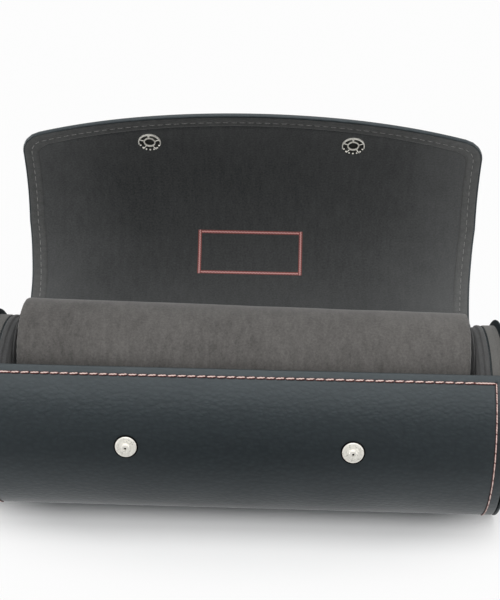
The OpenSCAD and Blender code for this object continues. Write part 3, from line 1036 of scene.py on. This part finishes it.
# stitches, in millimetres; slant is how far the front ones lean, and it wavers
sewing = dict(
    pitch=4.15, frontCount=47, length=4.0, slant=0.06, waver=0.02, thread=1.1, proud=0.08,
    sideLength=4.72, sideThread=0.80, sideEnd=5.4, tonalThread=0.6, tonalSink=0.10,
    tonalHeight=2.32, sinkFrom=100, hideHeight=0.06, flapInset=4.4, flapPitch=3.8,
    flapLength=2.9, flapStart=3.0, flat=0.42, bluntness=3.5, gap=0.3, overlap=0.1, lowest=0.95,
)


def makeStitch(width):
    # one blunt-ended stitch, a unit long, with where each corner lies across it
    deselectAll()
    bpy.ops.mesh.primitive_uv_sphere_add(segments=8, ring_count=7, radius=1)
    stitch = bpy.context.object
    corners = np.array([corner.co[:] for corner in stitch.data.vertices])
    faces = [tuple(face.vertices) for face in stitch.data.polygons]
    bpy.data.objects.remove(stitch)
    ends, across, up = corners[:, 2], corners[:, 0], corners[:, 1]
    girth = np.sqrt(np.clip(1 - ends ** 2, 1e-6, 1))
    blunt = np.clip(1 - np.abs(ends) ** sewing["bluntness"], 0, 1) ** (1 / sewing["bluntness"])
    # side is 0 along a stitch's top and 1 at its sides and ends, which take the painted shade
    side = np.maximum(np.abs(across / girth) * (np.abs(ends) < 0.999), np.abs(ends) ** 6)
    shaped = np.stack([ends / 2, across / girth * blunt * width / 2,
                       up / girth * blunt * width * sewing["flat"]], 1)
    shaped[np.abs(ends) > 0.999, 1:] = 0
    return shaped, side, faces


def sew(name, places, length, width, finish):
    # places is a list of (where, direction, outwards, length factor)
    corners, side, faces = makeStitch(width)
    allCorners, allSides, allFaces = [], [], []
    for where, direction, outwards, factor in places:
        x = Vector(direction).normalized()
        z = (Vector(outwards) - Vector(outwards).dot(x) * x).normalized()
        turn = np.array(Matrix((x, z.cross(x), z)).transposed())
        shaped = corners * np.array((length * factor, 1, 1))
        base = len(allCorners)
        allCorners += list((shaped @ turn.T + np.array(where)) * mm)
        allSides += [(base + n, v) for n, v in enumerate(side)]
        allFaces += [tuple(base + v for v in face) for face in faces]
    mesh = bpy.data.meshes.new(name)
    mesh.from_pydata(allCorners, [], allFaces)
    layer = mesh.uv_layers.new(name="pattern")
    for loop in mesh.loops:
        layer.data[loop.index].uv = (0, allSides[loop.vertex_index][1])
    line = bpy.data.objects.new(name, mesh)
    bpy.context.scene.collection.objects.link(line)
    weldAndTurnOut(line)
    dress(line, finish)
    smooth(line, 60)
    return line


def drumStitches():
    lift = drum["outer"] + sewing["proud"]
    front, sides = [], []

    def add(places, x, angle, direction, factor=1.0):
        a = math.radians(angle)
        y, z = onDrum(lift, angle)
        places.append(((x, y, z), direction, (0, -math.cos(a), math.sin(a)), factor))

    corner = drum["stitchEnd"]
    count = sewing["frontCount"]
    for k in range(count):
        x = (k - (count - 1) / 2) * sewing["pitch"]
        slant = sewing["slant"] + sewing["waver"] * math.sin(k * 2.4)
        add(front, x, drum["stitchAngle"], (1, 0, slant))
    for side in (-1, 1):
        reach = (count / 2) * sewing["pitch"] - sewing["gap"]
        middle = (corner + reach) / 2
        add(front, side * middle, drum["stitchAngle"], (1, 0, 0),
            (corner - reach) / sewing["length"] + sewing["overlap"])
        top, bottom = drum["stitchAngle"], -180 - drum["rim"] + sewing["sideEnd"]
        steps = int((top - bottom) / degree / sewing["pitch"])
        for k in range(steps):
            angle = top - (k + 0.5) * (top - bottom) / steps
            a = math.radians(angle)
            if onDrum(lift, angle)[1] > sewing["lowest"]:  # none on the flat it stands on
                add(sides, side * corner, angle, (0, math.sin(a), math.cos(a)),
                    sewing["sideLength"] / sewing["length"])
    for name, places, width in (("drumStitches", front, "thread"),
                                ("drumSideStitches", sides, "sideThread")):
        line = sew(name, places, sewing["length"], sewing[width], salmonThread)
        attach(line, "case")


def flapStitches():
    arc, nose = traceRim(sewing["flapInset"])
    start = (-halfFlap(0) + sewing["flapInset"], sewing["flapStart"])
    knee = (-halfFlap(flapShape["taperLength"]) + sewing["flapInset"], flapShape["taperLength"])
    left = [start, knee] + arc + nose
    whole = left + [(-x, along) for x, along in left[-2::-1]]
    run = sum(math.dist(a, b) for a, b in zip(whole, whole[1:]))
    count = round(run / sewing["flapPitch"])
    points = spread(whole, count * 2)
    for inner in (True, False):
        sets = {k: [] for k in range(5)}
        for k in range(count):
            x, along = points[2 * k + 1]
            ahead = points[2 * k + 2] - points[2 * k]
            sink = sewing["tonalSink"] if abs(x) > sewing["sinkFrom"] else 0
            height = (sewing["tonalHeight"] - sink if inner else sewing["hideHeight"]) \
                * flapDepth(along)
            here = Vector(onFlap(x, along, height))
            there = Vector(onFlap(x + ahead[0] * 0.1, along + ahead[1] * 0.1, height))
            above = Vector(onFlap(x, along, height + (1 if inner else -1)))
            part = max(n for n in range(5) if along >= pieceCuts[n])
            sets[part].append((here, there - here, above - here, 1.0))
        kind, width, finish, slot = (
            ("lining", "tonalThread", greyThread, "tonal_thread") if inner
            else ("hide", "thread", salmonThread, "contrast_thread"))
        for part, places in sets.items():
            line = sew(f"{kind}Stitches_{part + 1}", places, sewing["flapLength"],
                       sewing[width], finish)
            hangOnCrease(line, part)


drumStitches()
flapStitches()
print("stitches sewn")

# a plain stitched frame on the lining
label = dict(left=-24.8, right=24.2, low=37.0, high=58.2, line=1.7, height=2.40, thick=0.16)


def spreadAcross(bar, n):
    # the thread finish wants -1 to 1 from one side of the line to the other
    layer = bar.data.uv_layers["pattern"].data
    across = 1 if n == 2 else 0
    values = [spot.uv[across] for spot in layer]
    low, high = min(values), max(values)
    for spot in layer:
        spot.uv = (0, (spot.uv[across] - low) / (high - low) * 2 - 1)


def makeLabel():
    cut = pieceCuts[2]
    half = label["line"] / 2
    left, right, low, high = (label[k] for k in ("left", "right", "low", "high"))
    for part, (first, last) in enumerate(((low - half, cut), (cut, high + half))):
        bars = []
        spans = [((left - half, left + half), (first, last)),
                 ((right - half, right + half), (first, last))]
        middle = low if part == 0 else high
        spans.append(((left + half, right - half), (middle - half, middle + half)))
        for n, ((x0, x1), (s0, s1)) in enumerate(spans):
            columns = max(2, int((x1 - x0) / 2))
            rows = max(2, int(s1 - s0))

            def place(column, row):
                x = x0 + (x1 - x0) * column / columns
                along = s0 + (s1 - s0) * row / rows
                return x, along, onFlap(x, along, label["height"] + label["thick"] * 0.5)

            bar = layGrid(f"bar{n}", columns, rows, place)
            spreadAcross(bar, n)
            wallAndDress(bar, label["thick"], frameThread)
            bars.append(bar)
        piece = joinUp(f"labelFrame_{part + 1}", bars)
        smooth(piece, 40)
        hangOnCrease(piece, part + 1)


makeLabel()

# the nodes that stay as they are, out of sight
for name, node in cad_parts.items():
    if "board" in name:
        dress(node, greyBoard)
    elif name == "stud_rivets":
        dress(node, nickel)

# the floor, lamps and world. lift is how far the camera sees the paper above its shade
studio = dict(
    paper=0.97, reach=14.0, lift=0.04, sink=0.0002, fadeToWhite=(0.058, 0.112), fadeAcross=0.7,
    nearMirror=(0.030, 0.105), mirrored=(0.16, 1.0), floorMirror=0.8, sides=2.0, glow=0.98,
    world=0.59, skyBounds=(-0.7, 0.9), skyUp=1.3, skySides=0.8, target=(0, 0, 0.06),
    lamps=(("frontSoftbox", (0.0, -0.85, 1.02), 2.2, 0.9, 8.2),
           ("topSoftbox", (0.0, -0.05, 1.30), 1.1, 0.6, 4.2)),
)


def mixPaper():
    # the floor: white to the camera but for the shade on it, and pale to what reflects it
    r = Recipe("floorPaper")
    camera, glossy, clear = r.rays("Camera", "Glossy", "Transmission")
    spot = r.node("TexCoord", {}, {}, "Object")
    away = r.node("Mapping", {}, {"Vector": spot, "Scale": (studio["fadeAcross"], 1, 1)})
    away = r.node("VectorMath", {"operation": "LENGTH"}, {0: away}, "Value")
    lit = r.node("BsdfPrincipled", {}, {"Base Color": [studio["paper"]] * 3 + [1],
                                       "Roughness": 0.9, "Specular IOR Level": 0.0})
    across, forward = (r.size(r.part(spot, n)) for n in (0, 1))
    # painted reflection: to glossy rays the floor glows, brighter near the object and towards
    # its sides than further in front
    mirror = r.ease(forward, studio["nearMirror"], studio["floorMirror"],
                    studio["mirrored"][0])
    mirror = mirror + across * studio["sides"]
    strength = glossy * (mirror - studio["glow"]) + studio["glow"]
    glow = r.node("Emission", {}, {"Color": white, "Strength": strength})
    share = camera * r.ease(away, studio["fadeToWhite"], studio["lift"], 1.0) + glossy + clear
    both = r.node("MixShader", {}, {0: share, 1: lit, 2: glow})
    r.node("OutputMaterial", {}, {"Surface": both})
    return r.owner


def mixSky(world):
    # white to the camera; to metal and leather, white behind and above and dimmer in front
    r = Recipe("", world)
    camera, glossy, clear = r.rays("Camera", "Glossy", "Transmission")
    aim = r.node("TexCoord", {}, {}, "Generated")
    x, y, z = (r.part(aim, n) for n in range(3))
    front = y + z * studio["skyUp"] + r.size(x) * studio["skySides"]
    seen = r.ease(front, studio["skyBounds"], *studio["mirrored"])
    strength = studio["world"] + glossy * (seen - studio["world"])
    plain = r.node("Math", {"operation": "MAXIMUM"}, {0: camera, 1: clear})
    strength = strength + plain * (1 - strength)
    sky = r.node("Background", {}, {"Color": white, "Strength": strength})
    r.node("OutputWorld", {}, {"Surface": sky})


def makeStudio():
    deselectAll()
    bpy.ops.mesh.primitive_plane_add(size=2 * studio["reach"],
                                     location=(0, 0, -studio["sink"]))
    floor = bpy.context.object
    floor.name = "floor"
    bpy.ops.object.transform_apply(location=True)
    dress(floor, mixPaper())
    for name, place, wide, tall, power in studio["lamps"]:
        lamp = bpy.data.lights.new(name, "AREA")
        lamp.shape, lamp.size, lamp.size_y, lamp.energy = "RECTANGLE", wide, tall, power
        holder = bpy.data.objects.new(name, lamp)
        bpy.context.scene.collection.objects.link(holder)
        holder.location = place
        aim = Vector(studio["target"]) - Vector(place)
        holder.rotation_euler = aim.to_track_quat("-Z", "Y").to_euler()
    world = bpy.data.worlds.new("studioWorld")
    bpy.context.scene.world = world
    mixSky(world)


makeStudio()
bpy.context.scene.view_settings.view_transform = "Standard"
print("studio lit")
